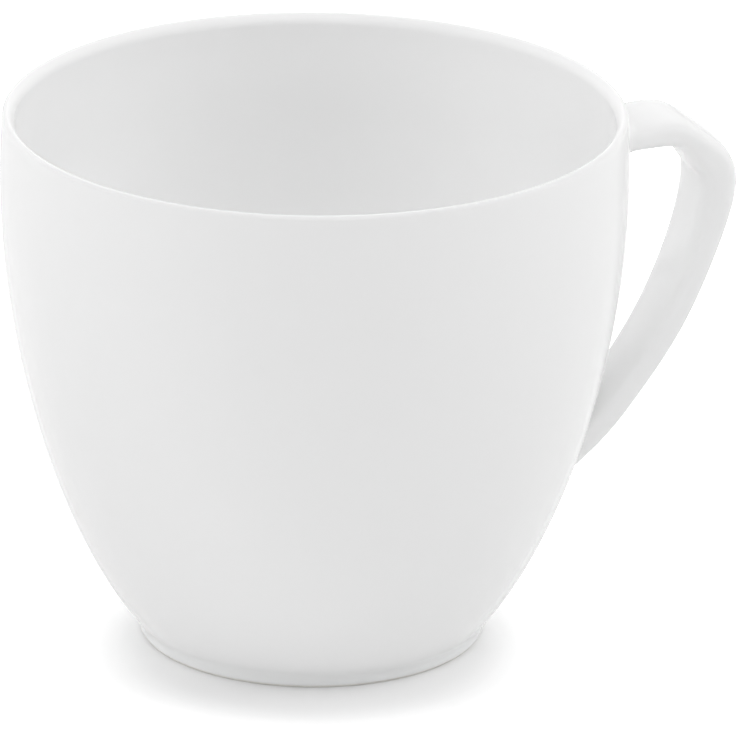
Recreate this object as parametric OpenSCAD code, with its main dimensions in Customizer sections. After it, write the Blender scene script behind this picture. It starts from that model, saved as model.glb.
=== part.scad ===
// Porcelain coffee cup with a looped strap handle.
// The origin is on the cup's axis, in the plane that the foot stands on.
// +Z runs up the axis and the handle lies along +X. All sizes are in millimetres.

/* [Cup] */
// Height from the table to the top of the lip
cup_h = 74.8; // [65:0.1:90]
// Outer diameter at the lip, over the glaze
rim_d = 85; // [76:0.5:98]
// Thickness of the glazed lip
lip_t = 1.7; // [1.4:0.1:2.2]
// Radius that eases the top of the lip into the inside
lip_ease_r = 1.75; // [1.4:0.05:2]
// Angle of the outside just above the foot, from level
heel_angle = 48.4; // [44:0.2:54]
// Angle of the outside at the lip, from level
lip_angle = 94.2; // [90:0.2:97]
// Thickness of the floor inside the foot ring
floor_t = 3.4; // [2.8:0.1:4.5]
// Radius of the flat part of the floor
floor_r = 13; // [9:0.5:16]

/* [Foot] */
// Outer diameter of the foot ring, over the glaze
foot_d = 47.2; // [42:0.2:54]
// Height of the foot ring outside
foot_h = 2; // [1.6:0.1:3]
// Width of the bare standing face
stand_w = 1.5; // [1:0.1:2.2]
// Height of the hollow under the floor
recess_h = 1.6; // [1.3:0.1:2.4]
// Bare height left at the bottom of the ring
bare_h = 0.4; // [0.35:0.05:0.7]
// Rounding of the standing face's edges
foot_round = 0.2; // [0.15:0.05:0.55]

/* [Handle] */
// Drop from the lip to the middle of the strap where it leaves the wall
handle_drop = 6.6; // [6:0.1:12]
// Height of the middle of the strap where it meets the bowl again
handle_low_z = 21.6; // [19:0.2:27]
// How far the strap's route swings out from the wall
handle_out = 17; // [14:0.5:24]
// Width of the strap at the lip
strap_w_top = 12.6; // [9.5:0.1:14]
// Width of the strap at the bend
strap_w_bend = 12.2; // [8.5:0.1:13.5]
// Width of the strap at its lower end
strap_w_low = 9.2; // [7:0.1:11.5]
// Thickness of the strap at the lip
strap_t_top = 3.2; // [2.8:0.1:4.4]
// Thickness of the flat arm where a thumb rests
strap_t_arm = 3.7; // [2.8:0.1:4.6]
// Thickness of the strap at the bend
strap_t_bend = 5.1; // [3.8:0.1:5.8]
// Thickness of the strap halfway down
strap_t_mid = 4; // [3.2:0.1:5.2]
// Thickness of the strap at its lower end
strap_t_low = 3.6; // [2.8:0.1:4.6]
// Radius of the slip fillet at the strap's upper end
fillet_top_r = 2; // [1.4:0.1:2.9]
// Radius of the slip fillet at its lower end
fillet_low_r = 1.4; // [1:0.1:2.4]
// Thickness of the slip smoothed out at the fillet's edge
slip_t = 0.08; // [0.05:0.01:0.1]

/* [Glaze] */
// Thickness of the glaze coat
glaze_t = 0.2; // [0.12:0.01:0.3]

/* [Hidden] */
$fn = 240;

// Finish colours
biscuit_colour = [0.93, 0.91, 0.87];
slip_colour = [0.91, 0.89, 0.85];
glaze_colour = [0.96, 0.96, 0.95];

// Pulls of the wall's curves, as shares of the height of the bowl
heel_pull_share = 0.222;
lip_pull_share = 0.407;
inner_lip_pull_share = 0.444;
floor_pull_share = 0.222;
// Steps along each curve of the wall, and round each half circle
wall_steps = 28;
round_steps = 8;
// Step from the foot ring out to where the bowl's curve starts
kink = 0.3;
// Radius of the hollow curve from the ring into the bowl, as a share of the ring's glazed height
hollow_share = 1.5;
// Angle round the lip, from its outer edge, at which its top eases into the inside
ease_angle = 130;
// Lean of the ring's inner side, as a share of the recess's height
recess_lean_share = 0.6;

// Route of the middle of the strap: control points of an even cubic spline, as shares of the
// way down from its upper to its lower root, and of how far it swings out
route_down_shares = [0.01, 0, -0.012, 0.08, 0.139, 0.347, 0.607, 0.807, 0.971, 1.13];
route_out_shares = [-0.09, 0.313, 0.5, 0.766, 0.957, 0.924, 0.758, 0.467, 0.198, -0.42];
// Where along the route each thickness and each width holds
thickness_shares = [0, 0.15, 0.37, 0.65, 1];
width_shares = [0, 0.3, 1];
// Power of the strap's rounded section: 2 is an ellipse, more is squarer
section_power = 3.6;
// Points round the section, and rings along the route
section_points = 24;
route_rings = 54;
// How much closer the rings lie at the ends of the route: 0 is even
ring_crowding = 0.6;
// Parts of the route, from its upper end, in which each root's slip ends
upper_part_share = 0.33;
lower_part_share = 0.67;

// Points and directions are [distance from the axis, height]
function dir(a) = [cos(a), sin(a)];
function unit(v) = v / norm(v);
function ease(x) = x * x * x * (10 - 15 * x + 6 * x * x);
function mix(a, b, x) = a + (b - a) * x;

// Cubic curve through four control points, and its direction
function curve(p, t) = pow(1 - t, 3) * p[0] + 3 * pow(1 - t, 2) * t * p[1]
  + 3 * (1 - t) * t * t * p[2] + pow(t, 3) * p[3];
function curve_dir(p, t) = unit(pow(1 - t, 2) * (p[1] - p[0])
  + 2 * (1 - t) * t * (p[2] - p[1]) + t * t * (p[3] - p[2]));

// The lip is an arc from its outer edge over its top, and a wider one on down to its inner edge
lean = lip_angle - 90;
function across(a) = -cos(a - lean);
lip_r = (lip_t - (1 - across(ease_angle)) * lip_ease_r) / (1 + across(ease_angle));

// Outside of the bowl, over the glaze: from the foot's kink up to the lip
lip_side = dir(lean);
foot_r = foot_d / 2;
heel = [foot_r + kink, foot_h];
lip_centre = [rim_d / 2 - lip_r, cup_h - lip_r];
ease_centre = lip_centre + (lip_r - lip_ease_r) * dir(ease_angle);
rim_edge = lip_centre + lip_r * lip_side;
bowl_h = rim_edge[1] - foot_h;
outside = [heel, heel + heel_pull_share * bowl_h * dir(heel_angle),
  rim_edge - lip_pull_share * bowl_h * dir(lip_angle), rim_edge];

// Inside of the bowl, over the glaze: from the flat floor up to the lip
floor_z = recess_h + floor_t;
inner_edge = ease_centre - lip_ease_r * lip_side;
inside = [[floor_r, floor_z], [floor_r + floor_pull_share * bowl_h, floor_z],
  inner_edge - inner_lip_pull_share * bowl_h * dir(lip_angle), inner_edge];

// The hollow curve rolls a circle against the ring's side and the bowl, which it touches at join
hollow_r = hollow_share * (foot_h - bare_h);
function right(p, t) = let (d = curve_dir(p, t)) [d[1], -d[0]];
function roll(t) = curve(outside, t) + hollow_r * right(outside, t);
join = lookup(foot_r + hollow_r, [for (i = [0 : wall_steps]) let (t = i / wall_steps) [roll(t)[0], t]]);
hollow_centre = roll(join);
hollow_end = heading(-right(outside, join));
function heading(v) = (atan2(v[1], v[0]) + 360) % 360;

// Points on each curve, moved by off into the porcelain
function outside_points(off) = concat(
  [for (i = [0 : round_steps])
    hollow_centre + (hollow_r + off) * dir(mix(180, hollow_end, i / round_steps))],
  [for (i = [1 : wall_steps]) let (t = mix(join, 1, i / wall_steps))
    curve(outside, t) - off * right(outside, t)]);
function inside_points(off) = [for (i = [wall_steps : -1 : 0]) let (t = i / wall_steps)
  curve(inside, t) + off * right(inside, t)];
// Points round the lip: the outer half up to its very top, and the inner half on from there
function turn(c, r, from, to, first, last) =
  [for (i = [first : last]) c + r * dir(mix(from, to, i / round_steps))];
function lip_out(off) = turn(lip_centre, lip_r - off, lean, 90, 1, round_steps - 1);
function lip_in(off) = concat(
  turn(lip_centre, lip_r - off, 90, ease_angle, 1, round_steps),
  turn(ease_centre, lip_ease_r - off, ease_angle, lean + 180, 1, round_steps - 1));
function lip_top(off) = lip_centre + [0, lip_r - off];
function reverse(p) = [for (i = [len(p) - 1 : -1 : 0]) p[i]];

// The foot ring: its bare standing face lies inside rounded edges
ring_out_r = foot_r - glaze_t;
ring_in_r = ring_out_r - stand_w - 2 * foot_round;
recess_r = ring_in_r - recess_lean_share * recess_h;
function ring_round(c, a0, a1) = [for (i = [0 : round_steps])
  c + foot_round * dir(mix(a0, a1, i / round_steps))];
// Corner of the hollow's bare ceiling, and a point on the ring's inner side, moved in by off
recess_corner = [recess_r + glaze_t, recess_h + glaze_t];
function recess_side(z, off) = [mix(ring_in_r, recess_corner[0],
  (z - foot_round) / (recess_corner[1] - foot_round)) - off, z];

// Outline of the bare porcelain, from the hollow's centre round the foot, bowl and lip
body_outline = concat(
  [[0, recess_corner[1]], recess_corner],
  ring_round([ring_in_r + foot_round, foot_round], 180, 270),
  ring_round([ring_out_r - foot_round, foot_round], 270, 360),
  outside_points(glaze_t), lip_out(glaze_t), [lip_top(glaze_t)], lip_in(glaze_t), inside_points(glaze_t),
  [[0, floor_z - glaze_t]]);

// Radius of the bare outside at a height
bare_wall = [for (p = outside_points(glaze_t)) [p[1], p[0]]];
function wall_r(z) = lookup(z, bare_wall);

// Route of the strap
handle_top_z = cup_h - handle_drop;
upper_root = [wall_r(handle_top_z), handle_top_z];
lower_root = [wall_r(handle_low_z), handle_low_z];
route_points = [for (i = [0 : len(route_down_shares) - 1])
  upper_root + route_down_shares[i] * (lower_root - upper_root) + [handle_out * route_out_shares[i], 0]];
degree = 3;
spans = len(route_points) - degree;
// Weight of control point i at x, for pieces of power k: knots repeat at both ends
function knot(i) = min(max(i - degree, 0), spans);
function ramp(x, a, b) = b > a ? (x - a) / (b - a) : 0;
function weight(i, k, x) = k == 0
  ? (knot(i) <= x && x < knot(i + 1) ? 1 : 0)
  : ramp(x, knot(i), knot(i + k)) * weight(i, k - 1, x)
    + (1 - ramp(x, knot(i + 1), knot(i + k + 1))) * weight(i + 1, k - 1, x);
// The route ends just short of its last knot, and its direction is read a nudge to either side
nudge = 1e-4;
function route(s) = let (x = min(s, 1 - nudge * nudge) * spans)
  [for (i = [0 : len(route_points) - 1]) weight(i, degree, x)] * route_points;
function route_dir(s) = unit(route(min(s + nudge, 1)) - route(max(s - nudge, 0)));

// A size that eases from one value to the next along the route
function eased(s, at, v, i = 0) = i >= len(v) - 2 || s <= at[i + 1]
  ? mix(v[i], v[i + 1], ease((s - at[i]) / (at[i + 1] - at[i])))
  : eased(s, at, v, i + 1);
function strap_t(s) = eased(s, thickness_shares,
  [strap_t_top, strap_t_arm, strap_t_bend, strap_t_mid, strap_t_low]);
function strap_w(s) = eased(s, width_shares, [strap_w_top, strap_w_bend, strap_w_low]);

// Point of a rounded section at angle a, and the direction straight out of it
function signed_pow(v, k) = sign(v) * pow(abs(v), k);
function section_point(w, t, a) = [t / 2 * signed_pow(cos(a), 2 / section_power),
  w / 2 * signed_pow(sin(a), 2 / section_power)];
function section_out(w, t, a) = let (p = section_point(w, t, a))
  unit([signed_pow(2 * p[0] / t, section_power - 1) / t, signed_pow(2 * p[1] / w, section_power - 1) / w]);

// Point v of the section, out across the strap, set on the route as [x, y, z]
function placed(s, v) = let (c = route(s), d = route_dir(s))
  [c[0] - d[1] * v[0], v[1], c[1] + d[0] * v[0]];
// Slip built up over the strap at a point, by a fillet of radius r: it curves out as the wall comes near
function slip_over(p, r) = let (gap = min(max(norm([p[0], p[1]]) - wall_r(p[2]), 0), r))
  max(r - sqrt(r * r - pow(r - gap, 2)), slip_t);
// Ring of the strap at s, grown by a fillet of radius r (or 0 for none) and by a coat
function ring(s, r, coat) = let (w = strap_w(s), t = strap_t(s))
  [for (j = [0 : section_points - 1])
    let (a = 360 * j / section_points, v = section_point(w, t, a), p = placed(s, v))
    placed(s, v + ((r > 0 ? slip_over(p, r) : 0) + coat) * section_out(w, t, a))];

// Rings along the route, and those that the slip at each end covers
function ring_at(i) = let (x = i / route_rings) x - ring_crowding * sin(360 * x) / (2 * PI);
function reach(i) = min([for (p = ring(ring_at(i), 0, 0)) norm([p[0], p[1]]) - wall_r(p[2])]);
upper_last = min([for (i = [1 : floor(route_rings * upper_part_share)]) if (reach(i) > fillet_top_r) i]);
lower_first = max([for (i = [ceil(route_rings * lower_part_share) : route_rings - 1])
  if (reach(i) > fillet_low_r) i]);
upper_rings = [for (i = [0 : upper_last]) ring_at(i)];
lower_rings = [for (i = [lower_first : route_rings]) ring_at(i)];
free_rings = [for (i = [upper_last : lower_first]) ring_at(i)];

// Rings grown by a fillet of radius r and a coat
function grown(rings, r, coat) = [for (s = rings) ring(s, r, coat)];
// The strap's outside over its slip fillets, or over the coat on them
function skin(coat) = concat(
  grown(upper_rings, fillet_top_r, coat),
  grown(free_rings, 0, coat),
  grown(lower_rings, fillet_low_r, coat));

function flat_list(l) = [for (a = l) for (b = a) b];
// Two triangles for each four points between neighbouring rings, the first ring's at index start
function side_faces(n, m, start, inward) = flat_list([for (i = [0 : n - 2]) for (j = [0 : m - 1])
  let (a = start + i * m + j, b = start + i * m + (j + 1) % m, c = a + m, d = b + m)
  inward ? [[a, d, b], [a, c, d]] : [[a, b, d], [a, d, c]]]);

// Solid along rings of points
module swept(rings) {
  n = len(rings);
  m = len(rings[0]);
  last = (n - 1) * m;
  polyhedron(flat_list(rings), concat(
    side_faces(n, m, 0, false),
    [for (j = [1 : m - 2]) [0, j + 1, j]],
    [for (j = [1 : m - 2]) [last, last + j, last + j + 1]]));
}

// Sleeve between two lists of rings with as many points
module sleeve(outer, inner) {
  n = len(outer);
  m = len(outer[0]);
  in = n * m;
  last = (n - 1) * m;
  polyhedron(flat_list(concat(outer, inner)), concat(
    side_faces(n, m, 0, false),
    side_faces(n, m, in, true),
    flat_list([for (j = [0 : m - 1]) let (k = (j + 1) % m)
      [[j, in + k, k], [j, in + j, in + k]]]),
    flat_list([for (j = [0 : m - 1]) let (k = (j + 1) % m)
      [[last + j, last + k, in + last + k], [last + j, in + last + k, in + last + j]]])));
}

// Everything inside the bare outside of the bowl, filled in up to above the strap
module wall_block() {
  rotate_extrude() polygon(concat(
    [[0, hollow_centre[1]]], outside_points(glaze_t), [[0, rim_edge[1]]]));
}

// Thrown and turned porcelain: the bowl with its foot ring, in one piece
module cup_body() {
  color(biscuit_colour) rotate_extrude() polygon(body_outline);
}

// Cast strap, its ends cut to the bowl
module handle() {
  color(biscuit_colour) difference() {
    swept(grown([for (i = [0 : route_rings]) ring_at(i)], 0, 0));
    wall_block();
  }
}

// Slip that holds the strap under the lip, smoothed to a fillet
module upper_handle_joint() {
  color(slip_colour) difference() {
    sleeve(grown(upper_rings, fillet_top_r, 0), grown(upper_rings, 0, 0));
    wall_block();
  }
}

// Slip that holds the strap's lower end
module lower_handle_joint() {
  color(slip_colour) difference() {
    sleeve(grown(lower_rings, fillet_low_r, 0), grown(lower_rings, 0, 0));
    wall_block();
  }
}

// Coat inside the bowl, up to the top of the lip
module inner_glaze() {
  color(glaze_colour) rotate_extrude() polygon(concat(
    [[0, floor_z - glaze_t]], reverse(inside_points(glaze_t)), reverse(lip_in(glaze_t)),
    [lip_top(glaze_t), lip_top(0)], lip_in(0), inside_points(0), [[0, floor_z]]));
}

// Coat outside the bowl, from the top of the lip to the bare foot, open where the strap is joined
module outer_glaze() {
  color(glaze_colour) difference() {
    rotate_extrude() polygon(concat(
      [[ring_out_r, bare_h], [foot_r, bare_h]],
      outside_points(0), lip_out(0), [lip_top(0), lip_top(glaze_t)],
      reverse(lip_out(glaze_t)), reverse(outside_points(glaze_t))));
    swept(grown(upper_rings, fillet_top_r, glaze_t));
    swept(grown(lower_rings, fillet_low_r, glaze_t));
  }
}

// Coat on the hollow under the floor
module foot_recess_glaze() {
  color(glaze_colour) rotate_extrude() polygon([
    recess_side(bare_h, 0), recess_corner, [0, recess_corner[1]],
    [0, recess_h], [recess_r, recess_h], recess_side(bare_h, glaze_t)]);
}

// Coat over the strap and its fillets
module handle_glaze() {
  color(glaze_colour) difference() {
    sleeve(skin(glaze_t), skin(0));
    wall_block();
  }
}

cup_body();
handle();
upper_handle_joint();
lower_handle_joint();
inner_glaze();
outer_glaze();
foot_recess_glaze();
handle_glaze();
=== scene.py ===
"""A white porcelain coffee cup with a looped strap handle, on a white studio floor.

Shapes are worked out in millimetres, in the cup's own frame: +Z runs up its axis from the table
and the handle lies along +X. Meshes are written in metres. A profile's points are [distance from
the axis, height], and "bare" is the porcelain's own surface, one coat of glaze below the outer one.
"""

import bpy
import numpy as np
from mathutils import Matrix, Vector


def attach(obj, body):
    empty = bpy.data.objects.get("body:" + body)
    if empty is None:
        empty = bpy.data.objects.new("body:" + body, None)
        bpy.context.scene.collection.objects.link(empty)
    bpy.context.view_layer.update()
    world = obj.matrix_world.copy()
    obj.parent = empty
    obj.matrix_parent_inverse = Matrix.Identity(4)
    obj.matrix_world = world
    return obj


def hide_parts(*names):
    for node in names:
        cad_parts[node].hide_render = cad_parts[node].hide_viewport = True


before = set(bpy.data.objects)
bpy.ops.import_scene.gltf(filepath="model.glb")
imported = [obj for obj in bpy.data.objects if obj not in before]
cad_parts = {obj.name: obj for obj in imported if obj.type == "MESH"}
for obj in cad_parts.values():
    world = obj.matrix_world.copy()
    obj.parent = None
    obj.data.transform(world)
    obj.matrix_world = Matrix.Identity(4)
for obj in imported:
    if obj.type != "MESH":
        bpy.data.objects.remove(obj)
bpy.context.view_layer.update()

MM = 0.001

# The cup
CUP_H = 74.8
RIM_D = 85.0
LIP_T = 1.7
LIP_EASE_R = 1.75
EASE_ANGLE = 130.0
HEEL_ANGLE = 48.4
LIP_ANGLE = 94.2
FLOOR_T = 3.4
FLOOR_R = 13.0
HEEL_PULL_SHARE = 0.222
LIP_PULL_SHARE = 0.407
INNER_LIP_PULL_SHARE = 0.444
FLOOR_PULL_SHARE = 0.222

# The foot
FOOT_D = 47.2
FOOT_H = 2.0
STAND_W = 1.5
RECESS_H = 1.6
BARE_H = 0.4
FOOT_ROUND = 0.2
KINK = 0.3
HOLLOW_SHARE = 1.5
RECESS_LEAN_SHARE = 0.6
RECESS_ROUND = 0.9

# The strap handle
HANDLE_DROP = 6.6
HANDLE_LOW_Z = 21.6
HANDLE_OUT = 17.0
ROUTE_DOWN_SHARES = [0.01, 0, -0.012, 0.08, 0.139, 0.347, 0.607, 0.807, 0.971, 1.13]
ROUTE_OUT_SHARES = [-0.09, 0.313, 0.5, 0.766, 0.957, 0.924, 0.758, 0.467, 0.198, -0.42]
THICKNESS_SHARES = [0, 0.15, 0.37, 0.65, 1]
STRAP_T = [3.2, 3.7, 5.1, 4, 3.6]
WIDTH_SHARES = [0, 0.3, 1]
STRAP_W = [12.6, 12.2, 9.2]
SECTION_POWER = 3.6
FILLET_TOP_R = 2.0
FILLET_LOW_R = 1.4

GLAZE_T = 0.2

# How finely the surfaces are drawn
AROUND = 288
CURVE_STEPS = 90
ROUND_STEPS = 12
SECTION_STEPS = 88
STRAP_STEPS = 190
FILLET_STEPS = 12
SEEK_STEPS = 900
SECTION_SAMPLES = 8000
CAP_STEPS = 8
NEWTON_STEPS = 6
JOIN_STEPS = 40 * CURVE_STEPS
FLAT_GAP = 2.0
SHARP_ANGLE = 50

# Shares of a curve: a small step along it, how far the strap keeps from the route's own ends, where
# the search for its roots stops, and the route's last usable share. Then the distances below which
# two points of a profile are one, and below which a point lies on the axis.
STEP = 1e-4
END_STEP = 2 * STEP
MIDDLE_SHARE = 0.4
LAST_SHARE = 1 - 1e-9
SAME_POINT = 1e-6
ON_AXIS = 1e-9

# The glaze. Sizes and depths are in mm, the rest are shares. It pools up to POOL_DEPTH above its
# lowest edge. Near the lip the inside is painted paler: painted light, standing in for light that
# comes through the wall there.
GLAZE_WHITE = (0.93, 0.93, 0.93, 1.0)
GLAZE_SHADE = (0.918, 0.920, 0.920, 1.0)
GLAZE_POOLED = (0.890, 0.898, 0.897, 1.0)
# Painted light: the paler white of the inside near the lip
GLAZE_PAINTED_GLOW = (0.985, 0.985, 0.985, 1.0)
CLOUD_SIZE, RIPPLE_SIZE, PEEL_SIZE = 24, 7, 1.1
CLOUD_DETAIL, RIPPLE_DETAIL, PEEL_DETAIL = 1.5, 1.0, 1.0
CLOUD_SHADE = 0.6
POOL_SHADE, POOL_RIPPLE = 0.5, 0.4
POOL_DEPTH = 1.2
# Depths below the lip where the painted light starts and where it is full
PAINTED_GLOW_DEPTH = (16.0, 1.5)
GLAZE_RELIEF, GLAZE_RELIEF_H = 0.35, 0.02
RIPPLE_RELIEF, PEEL_RELIEF = 1.6, 0.25
GLAZE_ROUGH, CLOUD_ROUGH, PEEL_ROUGH = 0.10, 0.05, 0.02
GLAZE_IOR = 1.52

# Bare porcelain and slip. Sizes and heights are in mm, the rest are shares. WORN_HEIGHT is where
# above the table the wear starts to fade, and where it ends.
BARE_WHITE = (0.90, 0.885, 0.85, 1.0)
BARE_WORN = (0.78, 0.76, 0.72, 1.0)
BISCUIT_GRAIN, SLIP_GRAIN = 0.25, 0.4
BISCUIT_WEAR, SLIP_WEAR = 0.7, 0.0
GRAIN_DETAIL, GRAIN_CONTRAST = 6.0, 0.65
PATCH_SIZE, PATCH_DETAIL = 5, 3.0
PATCH_RISE = (0.42, 0.62)
WORN_HEIGHT = (0.02, 0.3)
GRAIN_SHADE = 0.12
BARE_RELIEF, BARE_RELIEF_H = 0.5, 0.03
BARE_ROUGH, GRAIN_ROUGH, WORN_GLOSS = 0.62, 0.2, 0.12
BARE_IOR = 1.5

# The studio, in metres. The floor's glow fades in between each pair of distances from its shadow.
WHITE = (1.0, 1.0, 1.0, 1.0)
HANDLE_TURN = 18.0
FLOOR_SIZE = 6.0
FLOOR_WHITE = (0.96, 0.96, 0.96, 1.0)
FLOOR_SEEN = (0.88, 0.88, 0.88, 1.0)
SHADOW_FORWARD = 0.009
GLOW = 0.3
GLOW_NEAR = (0.021, 0.034)
GLOW_FAR = (0.06, 0.25)

# Each lamp: its middle and size in metres, seen with the camera looking along +Y, and its level.
# A white surface that faces a lamp of level 1 from beside the cup looks white.
LAMP_AIM = (0.0, 0.0, 0.04)
LAMPS = {
    "over": ((0.0, 0.0, 1.2), (1.2, 1.2), 0.17),
    "left": ((-1.0, 0.0, 0.8), (0.9, 0.9), 0.33),
    "right": ((1.0, 0.0, 0.8), (0.9, 0.9), 0.47),
    "left_behind": ((-0.8, 0.9, 0.5), (0.9, 0.9), 0.31),
    "right_behind": ((0.8, 0.9, 0.5), (0.9, 0.9), 0.24),
    "behind": ((0.0, 1.3, 0.7), (1.4, 0.9), 0.18),
    "left_front": ((-0.9, -0.8, 0.5), (0.9, 0.9), 0.12),
    "front": ((0.0, -1.4, 0.45), (1.2, 0.8), 0.03),
    "front_high": ((0.0, -1.0, 1.0), (1.0, 1.0), 0.32),
}

# The camera, solved from the cup's outline with the view along +Y: its focal length and picture in
# pixels, its place, aim and sensor in mm, its angles, and in metres how far it sees
LENS_PX = 10969.7
PICTURE_PX = 736
CAMERA_DISTANCE = 1500.0
CAMERA_ELEVATION = 20.56
CAMERA_ROLL = 0.57
AIM_SIDE = 7.48
AIM_HEIGHT = 37.70
SENSOR = 36.0
CLIP_END = 20.0


def direction(degrees):
    """Unit vector at an angle from level."""
    a = np.radians(degrees)
    return np.array([np.cos(a), np.sin(a)])


def unit(v):
    """v over its own length, along the last axis."""
    return v / np.linalg.norm(v, axis=-1, keepdims=True)


def ease(x):
    """10x^3 - 15x^4 + 6x^5, which starts and ends level and without a bend."""
    return x ** 3 * (10 - 15 * x + 6 * x * x)


class Cubic:
    """A cubic curve in a profile: (1-t)^3 A + 3(1-t)^2 t B + 3(1-t) t^2 C + t^3 D."""

    def __init__(self, a, b, c, d):
        self.p = [np.asarray(v, float) for v in (a, b, c, d)]

    def at(self, t):
        t = np.asarray(t, float)[..., None]
        a, b, c, d = self.p
        return (1 - t) ** 3 * a + 3 * (1 - t) ** 2 * t * b + 3 * (1 - t) * t * t * c + t ** 3 * d

    def slope(self, t):
        t = np.asarray(t, float)[..., None]
        a, b, c, d = self.p
        return 3 * ((1 - t) ** 2 * (b - a) + 2 * (1 - t) * t * (c - b) + t * t * (d - c))

    def right(self, t):
        """Unit normal to the right of the way along the curve."""
        d = unit(self.slope(t))
        return np.stack([d[..., 1], -d[..., 0]], -1)


# Profile of the glazed cup. The lip is an arc over its top, and a wider one down to its inner edge.
LEAN = LIP_ANGLE - 90
LIP_SIDE = direction(LEAN)
EASE_ACROSS = -np.cos(np.radians(EASE_ANGLE - LEAN))
LIP_R = (LIP_T - (1 - EASE_ACROSS) * LIP_EASE_R) / (1 + EASE_ACROSS)
FOOT_R = FOOT_D / 2
LIP_CENTRE = np.array([RIM_D / 2 - LIP_R, CUP_H - LIP_R])
RIM_EDGE = LIP_CENTRE + LIP_R * LIP_SIDE
EASE_CENTRE = LIP_CENTRE + (LIP_R - LIP_EASE_R) * direction(EASE_ANGLE)
INNER_EDGE = EASE_CENTRE - LIP_EASE_R * LIP_SIDE
BOWL_H = RIM_EDGE[1] - FOOT_H
HEEL = np.array([FOOT_R + KINK, FOOT_H])
FLOOR_Z = RECESS_H + FLOOR_T
OUTSIDE = Cubic(
    HEEL,
    HEEL + HEEL_PULL_SHARE * BOWL_H * direction(HEEL_ANGLE),
    RIM_EDGE - LIP_PULL_SHARE * BOWL_H * direction(LIP_ANGLE),
    RIM_EDGE,
)
INSIDE = Cubic(
    [FLOOR_R, FLOOR_Z],
    [FLOOR_R + FLOOR_PULL_SHARE * BOWL_H, FLOOR_Z],
    INNER_EDGE - INNER_LIP_PULL_SHARE * BOWL_H * direction(LIP_ANGLE),
    INNER_EDGE,
)
RING_OUT_R = FOOT_R - GLAZE_T
RING_IN_R = RING_OUT_R - STAND_W - 2 * FOOT_ROUND
RECESS_R = RING_IN_R - RECESS_LEAN_SHARE * RECESS_H


def join_share():
    """The t at which a circle rolled down the outside comes to lie against the ring.

    Its centre keeps HOLLOW_R from the outside, and there it is HOLLOW_R from the ring too.
    """
    t = np.linspace(0, 1, JOIN_STEPS)
    return np.interp(FOOT_R + HOLLOW_R, (OUTSIDE.at(t) + HOLLOW_R * OUTSIDE.right(t))[:, 0], t)


HOLLOW_R = HOLLOW_SHARE * (FOOT_H - BARE_H)
JOIN = join_share()
HOLLOW_CENTRE = OUTSIDE.at(JOIN) + HOLLOW_R * OUTSIDE.right(JOIN)


def outside(depth):
    """Points up the outside of the bowl, a depth below the glazed surface."""
    t = np.linspace(JOIN, 1, CURVE_STEPS + 1)
    return OUTSIDE.at(t) - depth * OUTSIDE.right(t)


def hollow(depth):
    """Points up the hollow curve from the foot ring into the bowl, a depth below the glaze."""
    end = -OUTSIDE.right(JOIN)
    stop = np.degrees(np.arctan2(end[1], end[0])) % 360
    return arc(HOLLOW_CENTRE, HOLLOW_R + depth, 180, stop)


def inside(depth):
    """Points from the lip down the inside of the bowl, a depth below the glazed surface."""
    t = np.linspace(1, 0, CURVE_STEPS + 1)
    return INSIDE.at(t) + depth * INSIDE.right(t)


def arc(centre, radius, start, stop):
    """Points round a centre between two angles, both ends among them."""
    a = np.radians(np.linspace(start, stop, ROUND_STEPS + 1))
    return np.asarray(centre) + radius * np.stack([np.cos(a), np.sin(a)], -1)


def lip_outer(depth):
    """The outer half of the lip, up to its very top."""
    return arc(LIP_CENTRE, LIP_R - depth, LEAN, 90)


def lip_inner(depth):
    """The inner half of the lip, from its very top, easing into the inside."""
    over = arc(LIP_CENTRE, LIP_R - depth, 90, EASE_ANGLE)
    down = arc(EASE_CENTRE, LIP_EASE_R - depth, EASE_ANGLE, LEAN + 180)
    return np.vstack([over, down[1:]])


def corner(before, at, after, radius):
    """Round corner between two straight stretches of a profile, tangent to both."""
    before, at, after = (np.asarray(v, float) for v in (before, at, after))
    a, b = unit(before - at), unit(after - at)
    half = np.arccos(np.clip(a @ b, -1, 1)) / 2
    centre = at + unit(a + b) * radius / np.sin(half)
    e0, e1 = (unit(at + way * radius / np.tan(half) - centre) for way in (a, b))
    angle = np.arccos(np.clip(e0 @ e1, -1, 1))
    x = np.linspace(0, 1, ROUND_STEPS + 1)[:, None]
    e = (np.sin((1 - x) * angle) * e0 + np.sin(x * angle) * e1) / np.sin(angle)
    return centre + radius * e


def bead(a, b):
    """Half round from a to b, bulging to the left of the way from a to b: the edge of a coat."""
    a, b = np.asarray(a, float), np.asarray(b, float)
    mid, half = (a + b) / 2, (b - a) / 2
    turn = np.linspace(np.pi, 0, ROUND_STEPS + 1)[:, None]
    left = np.array([-half[1], half[0]])
    return mid + np.cos(turn) * half + np.sin(turn) * left


def even(points, gap):
    """The same line with a point at least every gap, its own points kept."""
    points = np.asarray(points, float)
    out = [points[:1]]
    for a, b in zip(points[:-1], points[1:]):
        n = max(int(np.ceil(np.linalg.norm(b - a) / gap)), 1)
        out.append(a + (b - a) * (np.arange(1, n + 1) / n)[:, None])
    return np.concatenate(out)


# The hollow under the floor: bare corner, glazed corner, and the ring's bare inner side
BARE_CORNER = np.array([RECESS_R + GLAZE_T, RECESS_H + GLAZE_T])
GLAZED_CORNER = np.array([RECESS_R, RECESS_H])
RING_SIDE_FOOT = np.array([RING_IN_R, FOOT_ROUND])


def ring_side(z, depth):
    """Point on the ring's inner side at a height, a depth below the glazed surface."""
    x = (z - RING_SIDE_FOOT[1]) / (BARE_CORNER[1] - RING_SIDE_FOOT[1])
    bare = RING_SIDE_FOOT + x * (BARE_CORNER - RING_SIDE_FOOT)
    return bare + np.array([depth - GLAZE_T, 0])


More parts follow.
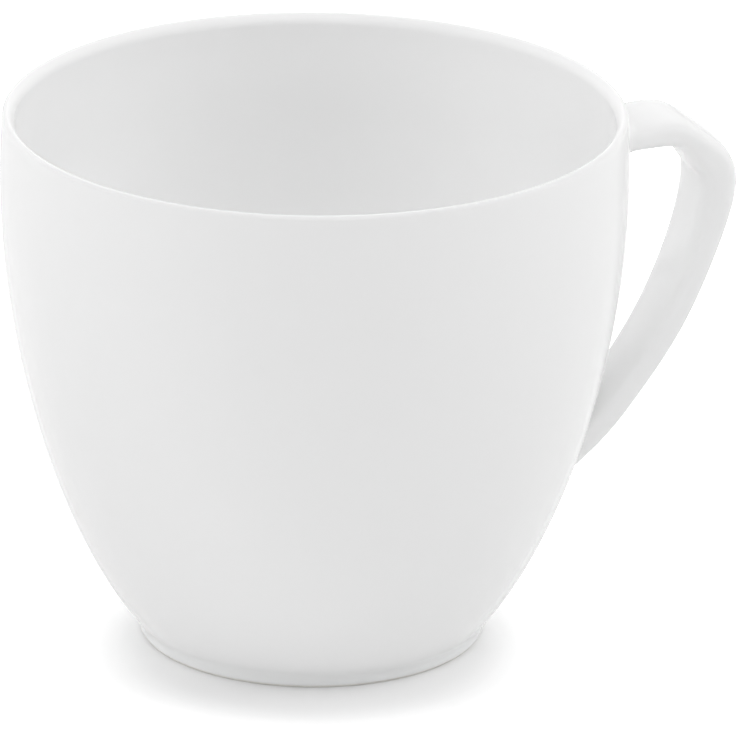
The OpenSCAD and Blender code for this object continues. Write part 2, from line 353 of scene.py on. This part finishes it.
def mesh_object(name, verts, faces):
    """A smooth-shaded object from points in millimetres and faces of 3 or 4 corners each."""
    mesh = bpy.data.meshes.new(name)
    sizes = np.concatenate([np.full(len(f), f.shape[1]) for f in faces])
    corners = np.concatenate([f.ravel() for f in faces])
    mesh.vertices.add(len(verts))
    mesh.vertices.foreach_set("co", (np.asarray(verts) * MM).astype(np.float32).ravel())
    mesh.loops.add(len(corners))
    mesh.loops.foreach_set("vertex_index", corners.astype(np.int32))
    mesh.polygons.add(len(sizes))
    starts = np.concatenate([[0], np.cumsum(sizes)[:-1]])
    mesh.polygons.foreach_set("loop_start", starts.astype(np.int32))
    mesh.update(calc_edges=True)
    mesh.validate()
    mesh.polygons.foreach_set("use_smooth", np.ones(len(mesh.polygons), bool))
    mesh.set_sharp_from_angle(angle=np.radians(SHARP_ANGLE))
    piece = bpy.data.objects.new(name, mesh)
    bpy.context.scene.collection.objects.link(piece)
    return piece


def grid_faces(rows, columns, closed_rows, closed_columns):
    """Faces of four corners over a grid whose rows lie one after another."""
    i = np.arange(rows if closed_rows else rows - 1)[:, None]
    j = np.arange(columns if closed_columns else columns - 1)[None, :]
    i1, j1 = (i + 1) % rows, (j + 1) % columns
    i, i1 = i * columns, i1 * columns
    return np.stack([i + j, i + j1, i1 + j1, i1 + j], -1).reshape(-1, 4)


def turned(name, profile):
    """Surface of revolution: (r cos a, r sin a, z) for the points [r, z] of a profile.

    The profile runs anticlockwise round the solid, as seen with the axis on the left. One that
    starts and ends on the axis closes there in two poles, and any other closes on itself.
    """
    profile = np.asarray(profile, float)
    keep = np.linalg.norm(np.diff(profile, axis=0, append=profile[:1]), axis=1) > SAME_POINT
    keep[-1] = True
    profile = profile[keep]
    a = np.arange(AROUND) * 2 * np.pi / AROUND
    on_axis = profile[0, 0] < ON_AXIS
    rings = profile[1:-1] if on_axis else profile
    r, z = rings[:, :1], rings[:, 1:]
    verts = np.stack([r * np.cos(a), r * np.sin(a), z + 0 * a], -1).reshape(-1, 3)
    faces = [grid_faces(len(rings), AROUND, not on_axis, True)]
    if on_axis:
        j = np.arange(AROUND)
        j1 = (j + 1) % AROUND
        first, last = len(verts), len(verts) + 1
        top = (len(rings) - 1) * AROUND
        verts = np.vstack([verts, [0, 0, profile[0, 1]], [0, 0, profile[-1, 1]]])
        faces.append(np.stack([np.full(AROUND, first), j1, j], -1))
        faces.append(np.stack([np.full(AROUND, last), top + j, top + j1], -1))
    return mesh_object(name, verts, faces)


def make_cup_body():
    """The bare bowl with its foot ring."""
    ceiling = corner([0, BARE_CORNER[1]], BARE_CORNER, RING_SIDE_FOOT, RECESS_ROUND)
    profile = np.vstack([
        even([[0, BARE_CORNER[1]], ceiling[0]], FLAT_GAP),
        ceiling[1:],
        arc([RING_IN_R + FOOT_ROUND, FOOT_ROUND], FOOT_ROUND, 180, 270),
        arc([RING_OUT_R - FOOT_ROUND, FOOT_ROUND], FOOT_ROUND, 270, 360),
        hollow(GLAZE_T),
        outside(GLAZE_T)[1:],
        lip_outer(GLAZE_T)[1:],
        lip_inner(GLAZE_T)[1:],
        inside(GLAZE_T)[1:],
        even([[FLOOR_R, FLOOR_Z - GLAZE_T], [0, FLOOR_Z - GLAZE_T]], FLAT_GAP)[1:],
    ])
    return turned("cup_porcelain", profile)


def make_inner_glaze():
    """The coat inside the bowl, from the top of the lip to the middle of the floor."""
    profile = np.vstack([
        even([[0, FLOOR_Z - GLAZE_T], [FLOOR_R, FLOOR_Z - GLAZE_T]], FLAT_GAP),
        inside(GLAZE_T)[::-1][1:],
        lip_inner(GLAZE_T)[::-1][1:],
        lip_inner(0),
        inside(0)[1:],
        even([[FLOOR_R, FLOOR_Z], [0, FLOOR_Z]], FLAT_GAP)[1:],
    ])
    return turned("glaze_inside", profile)


def make_outer_glaze():
    """The coat outside the bowl, from the bare foot to the top of the lip. It ends in a bead."""
    profile = np.vstack([
        bead([RING_OUT_R, BARE_H], [FOOT_R, BARE_H]),
        hollow(0),
        outside(0)[1:],
        lip_outer(0)[1:],
        lip_outer(GLAZE_T)[::-1],
        outside(GLAZE_T)[::-1][1:],
        hollow(GLAZE_T)[::-1][1:],
    ])
    return turned("glaze_outside", profile)


def make_recess_glaze():
    """The coat on the hollow under the floor, down to a bead on the ring's inner side."""
    bare = corner(RING_SIDE_FOOT, BARE_CORNER, [0, BARE_CORNER[1]], RECESS_ROUND)
    glazed_round = RECESS_ROUND - GLAZE_T / 2
    glazed = corner([0, RECESS_H], GLAZED_CORNER, ring_side(BARE_H, 0), glazed_round)
    profile = np.vstack([
        even([[0, RECESS_H], glazed[0]], FLAT_GAP),
        glazed[1:],
        bead(ring_side(BARE_H, 0), ring_side(BARE_H, GLAZE_T)),
        bare,
        even([bare[-1], [0, BARE_CORNER[1]]], FLAT_GAP)[1:],
    ])
    return turned("glaze_under_floor", profile)


# The strap
HANDLE_TOP_Z = CUP_H - HANDLE_DROP
DEGREE = 3
SPANS = len(ROUTE_DOWN_SHARES) - DEGREE


def wall_radius(z, depth):
    """Radius of the outside at a height, a depth below the glazed surface."""
    line = outside(depth)
    return np.interp(z, line[:, 1], line[:, 0])


def wall_distance(points, depth):
    """How far points lie outside the wall, and the wall's normal at its point nearest to each.

    The nearest t solves (curve(t) - point) . slope(t) = 0, by Newton's steps from the t at the
    same height, in the half plane through the axis and the point.
    """
    flat = np.stack([np.hypot(points[..., 0], points[..., 1]), points[..., 2]], -1)
    t_line = np.linspace(0, 1, CURVE_STEPS + 1)
    t = np.interp(flat[..., 1], OUTSIDE.at(t_line)[:, 1], t_line)

    def miss(x):
        return ((OUTSIDE.at(x) - flat) * OUTSIDE.slope(x)).sum(-1)

    for _ in range(NEWTON_STEPS):
        rate = (miss(t + STEP) - miss(t - STEP)) / (2 * STEP)
        t = np.clip(t - miss(t) / rate, 0, 1)
    out = OUTSIDE.right(t)
    gap = ((flat - OUTSIDE.at(t)) * out).sum(-1) + depth
    return gap, np.concatenate([out[..., :1] * unit(points[..., :2]), out[..., 1:]], -1)


def route_points():
    """Control points of the strap's route, between its two roots on the bare wall."""
    upper = np.array([wall_radius(HANDLE_TOP_Z, GLAZE_T), HANDLE_TOP_Z])
    lower = np.array([wall_radius(HANDLE_LOW_Z, GLAZE_T), HANDLE_LOW_Z])
    down, out = np.array(ROUTE_DOWN_SHARES)[:, None], np.array(ROUTE_OUT_SHARES)[:, None]
    return upper + down * (lower - upper) + np.array([HANDLE_OUT, 0]) * out


def route(s):
    """Middle of the strap at shares s of its route.

    A cubic B-spline with even knots, repeated at both ends: sum of w_i(s) P_i.
    """
    points = route_points()
    count = len(points)
    knots = np.clip(np.arange(count + DEGREE + 1) - DEGREE, 0, SPANS)
    x = np.minimum(np.asarray(s, float), LAST_SHARE) * SPANS
    spans = zip(knots[:-1], knots[1:])
    weights = [((low <= x) & (x < high)).astype(float) for low, high in spans]
    for k in range(1, DEGREE + 1):
        def ramp(i):
            width = knots[i + k] - knots[i]
            return (x - knots[i]) / width if width else 0 * x
        pairs = enumerate(zip(weights[:-1], weights[1:]))
        weights = [ramp(i) * one + (1 - ramp(i + 1)) * other for i, (one, other) in pairs]
    return np.stack(weights, -1) @ points


def eased(s, shares, values):
    """A size that eases from each value to the next, at the shares of the route where they hold."""
    i = np.clip(np.searchsorted(shares, s, side="right") - 1, 0, len(shares) - 2)
    shares, values = np.asarray(shares, float), np.asarray(values, float)
    x = (s - shares[i]) / (shares[i + 1] - shares[i])
    return values[i] + (values[i + 1] - values[i]) * ease(x)


def power(v, k):
    """|v|^k with v's sign."""
    return np.sign(v) * np.abs(v) ** k


def strap(s, a, depth=0.0):
    """Points of the strap and their outward normals, at shares s of the route and angles a.

    The section is a superellipse, |x / half t|^n + |y / half w|^n = 1, across the route. The
    surface is the bare strap grown along its normals by the glaze's thickness less depth.
    """
    def bare(s):
        c = route(s)
        d = unit(route(s + STEP) - route(s - STEP))
        x = eased(s, THICKNESS_SHARES, STRAP_T) / 2 * power(np.cos(a), 2 / SECTION_POWER)
        y = eased(s, WIDTH_SHARES, STRAP_W) / 2 * power(np.sin(a), 2 / SECTION_POWER)
        return np.stack([c[..., 0] - d[..., 1] * x, y, c[..., 1] + d[..., 0] * x], -1), d
    s, a = np.broadcast_arrays(np.clip(s, END_STEP, 1 - END_STEP), a)
    p, d = bare(s)
    half_t = eased(s, THICKNESS_SHARES, STRAP_T) / 2
    half_w = eased(s, WIDTH_SHARES, STRAP_W) / 2
    gx = power(np.cos(a), 2 - 2 / SECTION_POWER) / half_t
    gy = power(np.sin(a), 2 - 2 / SECTION_POWER) / half_w
    along_section = np.stack([-d[..., 1] * -gy, gx, d[..., 0] * -gy], -1)
    along_route = bare(s + STEP)[0] - bare(s - STEP)[0]
    normal = unit(np.cross(along_route, along_section))
    return p + (GLAZE_T - depth) * normal, normal


def section_angles():
    """Angles of the section's points, spaced evenly round its outline."""
    a = np.linspace(0, 2 * np.pi, SECTION_SAMPLES + 1)
    x = np.mean(STRAP_T) / 2 * power(np.cos(a), 2 / SECTION_POWER)
    y = np.mean(STRAP_W) / 2 * power(np.sin(a), 2 / SECTION_POWER)
    run = np.concatenate([[0], np.cumsum(np.hypot(np.diff(x), np.diff(y)))])
    return np.interp(np.arange(SECTION_STEPS) / SECTION_STEPS * run[-1], run, a)


def first_share(miss, s):
    """Share s at which miss, a table over shares and angles, first rises past zero."""
    i = np.argmax(miss > 0, axis=0)
    j = np.arange(miss.shape[1])
    a, b = miss[i - 1, j], miss[i, j]
    return s[i - 1] + (s[i] - s[i - 1]) * (-a / (b - a))


class Root:
    """One end of the strap, where a ball rolled round it lies against both the strap and the wall.

    With c the ball's centre, its radius from both glazed surfaces, the fillet is the arc round c
    from its point on the strap to its point on the wall.
    """

    def __init__(self, angles, end, radius):
        s = np.linspace(end, MIDDLE_SHARE, SEEK_STEPS)
        skin, out = strap(s[:, None], angles[None, :])
        miss = wall_distance(skin + radius * out, 0)[0] - radius
        self.s = first_share(miss, s)
        skin, out = strap(self.s, angles)
        self.radius = radius
        self.centre = skin + radius * out
        self.from_strap = -out
        self.from_wall = -wall_distance(self.centre, 0)[1]
        bare, _ = strap(s[:, None], angles[None, :], GLAZE_T)
        self.s_wall = first_share(wall_distance(bare, GLAZE_T)[0], s)
        self.angles = angles
        self.far = end > MIDDLE_SHARE

    def fillet(self, depth):
        """Rows of points from strap to wall: c + (r + depth) e, e turning evenly between them."""
        x = np.linspace(0, 1, FILLET_STEPS + 1)[:, None, None]
        cosine = (self.from_strap * self.from_wall).sum(-1)
        turn = np.arccos(np.clip(cosine, -1, 1))[None, :, None]
        e = np.sin((1 - x) * turn) * self.from_strap + np.sin(x * turn) * self.from_wall
        e = e / np.sin(turn)
        return self.centre + (self.radius + depth) * e

    def wall_loop(self):
        """Where the bare strap meets the bare wall."""
        return strap(self.s_wall, self.angles, GLAZE_T)[0]


def on_wall(points, depth):
    """Points moved straight out from the axis, onto the wall."""
    r = wall_radius(points[..., 2], depth)
    return np.concatenate([unit(points[..., :2]) * r[..., None], points[..., 2:]], -1)


def strap_rows(low, high, depth):
    """Rows of strap points between two shares for each angle, evenly spaced along the route."""
    s = np.linspace(0, 1, SEEK_STEPS)
    run = np.concatenate([[0], np.cumsum(np.linalg.norm(np.diff(route(s), axis=0), axis=1))])
    x = np.linspace(0, 1, STRAP_STEPS + 1)[:, None]
    a, b = np.interp(low, s, run), np.interp(high, s, run)
    return strap(np.interp(a + (b - a) * x, run, s), ANGLES[None, :], depth)[0]


ANGLES = section_angles()
UPPER = Root(ANGLES, 0.0, FILLET_TOP_R)
LOWER = Root(ANGLES, 1.0, FILLET_LOW_R)


def make_handle_glaze():
    """The coat over the strap and both fillets: its outside one way, its inside back."""
    def rows(depth):
        return np.concatenate([
            UPPER.fillet(depth)[::-1],
            strap_rows(UPPER.s, LOWER.s, depth)[1:-1],
            LOWER.fillet(depth),
        ])
    outer, inner = rows(0), rows(GLAZE_T)
    grid = np.concatenate([outer, inner[::-1]])
    faces = grid_faces(len(grid), SECTION_STEPS, True, True)
    return mesh_object("glaze_over_handle", grid.reshape(-1, 3), [faces[:, ::-1]])


def make_handle():
    """The bare strap. Each end is filled in to its middle, on the wall's own curve."""
    rows = strap_rows(UPPER.s_wall, LOWER.s_wall, GLAZE_T)

    def end(loop):
        x = np.linspace(1, 0, CAP_STEPS + 1)[1:-1, None, None]
        mid = loop.mean(axis=0)
        return on_wall(mid + (loop - mid) * x, GLAZE_T), on_wall(mid[None], GLAZE_T)
    first, first_mid = end(rows[0])
    last, last_mid = end(rows[-1])
    grid = np.concatenate([first[::-1], rows, last])
    verts = np.concatenate([grid.reshape(-1, 3), first_mid, last_mid])
    j = np.arange(SECTION_STEPS)
    j1 = (j + 1) % SECTION_STEPS
    top = (len(grid) - 1) * SECTION_STEPS
    a, b = np.full(SECTION_STEPS, len(verts) - 2), np.full(SECTION_STEPS, len(verts) - 1)
    faces = [
        grid_faces(len(grid), SECTION_STEPS, False, True)[:, ::-1],
        np.stack([a, j, j1], -1),
        np.stack([b, top + j1, top + j], -1),
    ]
    return mesh_object("strap", verts, faces)


def make_joint(name, root):
    """Fillet of slip round one end of the strap: its face, then down the wall and up the strap."""
    face = root.fillet(GLAZE_T)
    loop = root.wall_loop()
    x = np.linspace(0, 1, CAP_STEPS + 1)[1:, None, None]
    wall = on_wall(face[-1] + (loop - face[-1]) * x, GLAZE_T)
    wall[-1] = loop
    s = root.s_wall + (root.s - root.s_wall) * x[:-1, :, 0]
    side = strap(s, root.angles[None, :], GLAZE_T)[0]
    grid = np.concatenate([face, wall, side])
    faces = grid_faces(len(grid), SECTION_STEPS, True, True)
    return mesh_object(name, grid.reshape(-1, 3), [faces[:, ::-1] if root.far else faces])


class Flow:
    """A node's output in a sum: +, - and * each add the Math node that does it."""

    def __init__(self, recipe, socket):
        self.recipe, self.socket = recipe, socket

    def math(self, operation, a, b):
        return self.recipe.node("ShaderNodeMath", {"operation": operation}, {0: a, 1: b})

    def __add__(self, other):
        return self.math("ADD", self, other)

    def __radd__(self, other):
        return self.math("ADD", other, self)

    def __sub__(self, other):
        return self.math("SUBTRACT", self, other)

    def __rsub__(self, other):
        return self.math("SUBTRACT", other, self)

    def __mul__(self, other):
        return self.math("MULTIPLY", self, other)

    def __rmul__(self, other):
        return self.math("MULTIPLY", other, self)


class Recipe:
    """A finish made of nodes."""

    def __init__(self, owner):
        owner.use_nodes = True
        self.owner, self.tree = owner, owner.node_tree
        self.tree.nodes.clear()

    def node(self, kind, settings=None, sockets=None, out=0):
        """Adds a node: settings first, then values or links of its sockets. Gives one output."""
        n = self.tree.nodes.new(kind)
        for key, value in (settings or {}).items():
            setattr(n, key, value)
        for key, value in (sockets or {}).items():
            if isinstance(value, Flow):
                self.tree.links.new(value.socket, n.inputs[key])
            else:
                n.inputs[key].default_value = value
        return Flow(self, n.outputs[out])

    def noise(self, place, size_mm, detail, contrast=0.5):
        """Soft noise from 0 to 1 whose patches measure about size_mm."""
        return self.node("ShaderNodeTexNoise", {"noise_dimensions": "3D"}, {
            "Vector": place, "Scale": 1 / (size_mm * MM), "Detail": detail, "Roughness": contrast,
        })

    def bump(self, height, strength, height_mm):
        """Relief whose full height is height_mm."""
        return self.node("ShaderNodeBump", None, {
            "Strength": strength, "Distance": height_mm * MM, "Height": height,
        })

    def blend(self, share, a, b):
        """Colour a turning into colour b as share goes from 0 to 1."""
        return self.node(
            "ShaderNodeMix", {"data_type": "RGBA", "clamp_factor": True},
            {0: share, 6: a, 7: b}, out=2,
        )

    def rise(self, value, low, high):
        """0 below low, 1 above high, and a soft step between."""
        return self.node(
            "ShaderNodeMapRange", {"interpolation_type": "SMOOTHSTEP"},
            {"Value": value, "From Min": low, "From Max": high},
        )

    def finish(self, shader, kind="ShaderNodeOutputMaterial"):
        """Links the shader to the output and gives back the material or world."""
        self.tree.links.new(shader.socket, self.tree.nodes.new(kind).inputs["Surface"])
        return self.owner


def glaze_finish(name, low_z, painted_glow):
    """Clear gloss over white porcelain: faintly uneven, and cooler where it pooled at low_z.

    The last argument is how far the lip is painted paler: painted light, for light through the
    wall.
    """
    r = Recipe(bpy.data.materials.new(name))
    place = r.node("ShaderNodeTexCoord", None, None, out=3)
    height = r.node("ShaderNodeSeparateXYZ", None, {0: place}, out=2)
    cloud = r.noise(place, CLOUD_SIZE, CLOUD_DETAIL)
    ripple = r.noise(place, RIPPLE_SIZE, RIPPLE_DETAIL)
    peel = r.noise(place, PEEL_SIZE, PEEL_DETAIL)
    colour = r.blend(cloud * CLOUD_SHADE, GLAZE_WHITE, GLAZE_SHADE)
    pooled = 1 - r.rise(height, low_z * MM, (low_z + POOL_DEPTH) * MM)
    colour = r.blend(pooled * (POOL_SHADE + POOL_RIPPLE * ripple), colour, GLAZE_POOLED)
    # Painted light: the colour turns paler towards the lip, standing in for light through the wall.
    deep, shallow = ((CUP_H - depth) * MM for depth in PAINTED_GLOW_DEPTH)
    colour = r.blend(painted_glow * r.rise(height, deep, shallow), colour, GLAZE_PAINTED_GLOW)
    relief = ripple * RIPPLE_RELIEF + peel * PEEL_RELIEF
    shader = r.node("ShaderNodeBsdfPrincipled", None, {
        "Base Color": colour,
        "Roughness": GLAZE_ROUGH + CLOUD_ROUGH * cloud + PEEL_ROUGH * peel,
        "IOR": GLAZE_IOR,
        "Normal": r.bump(relief, GLAZE_RELIEF, GLAZE_RELIEF_H),
    })
    return r.finish(shader)


def bare_finish(name, grain_mm, wear):
    """Fired porcelain without glaze: matt, finely grained, and greyer where it stands on tables."""
    r = Recipe(bpy.data.materials.new(name))
    place = r.node("ShaderNodeTexCoord", None, None, out=3)
    height = r.node("ShaderNodeSeparateXYZ", None, {0: place}, out=2)
    grain = r.noise(place, grain_mm, GRAIN_DETAIL, GRAIN_CONTRAST)
    patches = r.noise(place, PATCH_SIZE, PATCH_DETAIL)
    low, high = (z * MM for z in WORN_HEIGHT)
    worn = (1 - r.rise(height, low, high)) * r.rise(patches, *PATCH_RISE) * wear
    shader = r.node("ShaderNodeBsdfPrincipled", None, {
        "Base Color": r.blend(worn + grain * GRAIN_SHADE, BARE_WHITE, BARE_WORN),
        "Roughness": BARE_ROUGH + GRAIN_ROUGH * grain - WORN_GLOSS * worn,
        "IOR": BARE_IOR,
        "Normal": r.bump(grain, BARE_RELIEF, BARE_RELIEF_H),
    })
    return r.finish(shader)


def dress(piece, node, finish):
    """A piece stands for its CAD node, rides on the cup and takes its finish."""
    piece.data.materials.append(finish)
    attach(piece, "root")
    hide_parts(node)


glaze = glaze_finish("porcelain_glaze", FOOT_H, 0.0)
# The inside's glaze carries the painted light near the lip.
glaze_in_bowl = glaze_finish("porcelain_glaze_in_bowl_painted_glow", FLOOR_Z, 1.0)
biscuit = bare_finish("biscuit_porcelain", BISCUIT_GRAIN, BISCUIT_WEAR)
slip = bare_finish("fired_slip", SLIP_GRAIN, SLIP_WEAR)
dress(make_cup_body(), "cup_body", biscuit)
dress(make_handle(), "handle", biscuit)
dress(make_joint("upper_slip_fillet", UPPER), "upper_handle_joint", slip)
dress(make_joint("lower_slip_fillet", LOWER), "lower_handle_joint", slip)
dress(make_inner_glaze(), "inner_glaze", glaze_in_bowl)
dress(make_outer_glaze(), "outer_glaze", glaze)
dress(make_recess_glaze(), "foot_recess_glaze", glaze)
dress(make_handle_glaze(), "handle_glaze", glaze)


def make_floor():
    """A wide plain white floor in the plane that the foot stands on.

    To the camera it glows a little, up to full white, except where the cup's soft shadow lies.
    """
    half = FLOOR_SIZE / 2
    corners = [(-half, -half, 0), (half, -half, 0), (half, half, 0), (-half, half, 0)]
    mesh = bpy.data.meshes.new("studio_floor")
    mesh.from_pydata(corners, [], [(0, 1, 2, 3)])
    floor = bpy.data.objects.new("studio_floor", mesh)
    bpy.context.scene.collection.objects.link(floor)
    r = Recipe(bpy.data.materials.new("studio_white"))
    place = r.node("ShaderNodeTexCoord", None, None, out=3)
    shadow = (*direction(-90 - HANDLE_TURN) * SHADOW_FORWARD, 0)
    from_shadow = r.node(
        "ShaderNodeVectorMath", {"operation": "DISTANCE"}, {0: place, 1: shadow}, out=1,
    )
    glow = GLOW * r.rise(from_shadow, *GLOW_NEAR) + (1 - GLOW) * r.rise(from_shadow, *GLOW_FAR)
    seen = r.node("ShaderNodeLightPath", None, None, out=0)
    colour = r.blend(seen, FLOOR_WHITE, FLOOR_SEEN)
    paint = r.node("ShaderNodeAddShader", None, {
        0: r.node("ShaderNodeBsdfDiffuse", None, {"Color": colour}),
        1: r.node("ShaderNodeEmission", None, {"Color": WHITE, "Strength": glow * seen}),
    })
    mesh.materials.append(r.finish(paint))


def make_air():
    """White all round to the camera and in the gloss. The lamps alone light the cup."""
    world = bpy.data.worlds.new("studio_air")
    bpy.context.scene.world = world
    r = Recipe(world)
    seen = r.node("ShaderNodeLightPath", None, None, out=0)
    mirrored = r.node("ShaderNodeLightPath", None, None, out=3)
    air = r.node("ShaderNodeBackground", None, {"Color": WHITE, "Strength": seen + mirrored})
    r.finish(air, "ShaderNodeOutputWorld")


def make_lamps():
    """Large soft lamps round the cup, each aimed at it: power = level * (pi * distance)^2.

    The gloss shows the white air in their place.
    """
    turn = Matrix.Rotation(np.radians(-HANDLE_TURN), 4, "Z")
    for name, (place, size, level) in LAMPS.items():
        data = bpy.data.lights.new(name, "AREA")
        data.shape = "RECTANGLE"
        data.size, data.size_y = size
        way = Vector(LAMP_AIM) - Vector(place)
        data.energy = level * (np.pi * way.length) ** 2
        lamp = bpy.data.objects.new(name, data)
        bpy.context.scene.collection.objects.link(lamp)
        matrix = way.to_track_quat("-Z", "Y").to_matrix().to_4x4()
        matrix.translation = place
        lamp.matrix_world = turn @ matrix
        lamp.visible_glossy = False


def make_camera():
    """The photo's own view, solved from the cup's outline: a long lens from a little above."""
    # Solved with the view along +Y. The handle is then turned away from +X, towards +Y.
    e = np.radians(CAMERA_ELEVATION)
    place = np.array([0, -np.cos(e), np.sin(e)]) * CAMERA_DISTANCE + [0, 0, AIM_HEIGHT]
    forward = unit(np.array([AIM_SIDE, 0, AIM_HEIGHT]) - place)
    right = unit(np.cross(forward, [0, 0, 1]))
    up = np.cross(right, forward)
    tilt = np.radians(CAMERA_ROLL)
    cos, sin = np.cos(tilt), np.sin(tilt)
    axes = np.stack([cos * right + sin * up, cos * up - sin * right, -forward], -1)
    data = bpy.data.cameras.new("camera")
    data.sensor_width = SENSOR
    data.lens = SENSOR * LENS_PX / PICTURE_PX
    data.clip_end = CLIP_END
    camera = bpy.data.objects.new("camera", data)
    bpy.context.scene.collection.objects.link(camera)
    matrix = Matrix(axes.tolist()).to_4x4()
    matrix.translation = place * MM
    camera.matrix_world = Matrix.Rotation(np.radians(-HANDLE_TURN), 4, "Z") @ matrix
    bpy.context.scene.camera = camera


make_floor()
make_air()
make_lamps()
make_camera()
bpy.context.scene.view_settings.view_transform = "Standard"
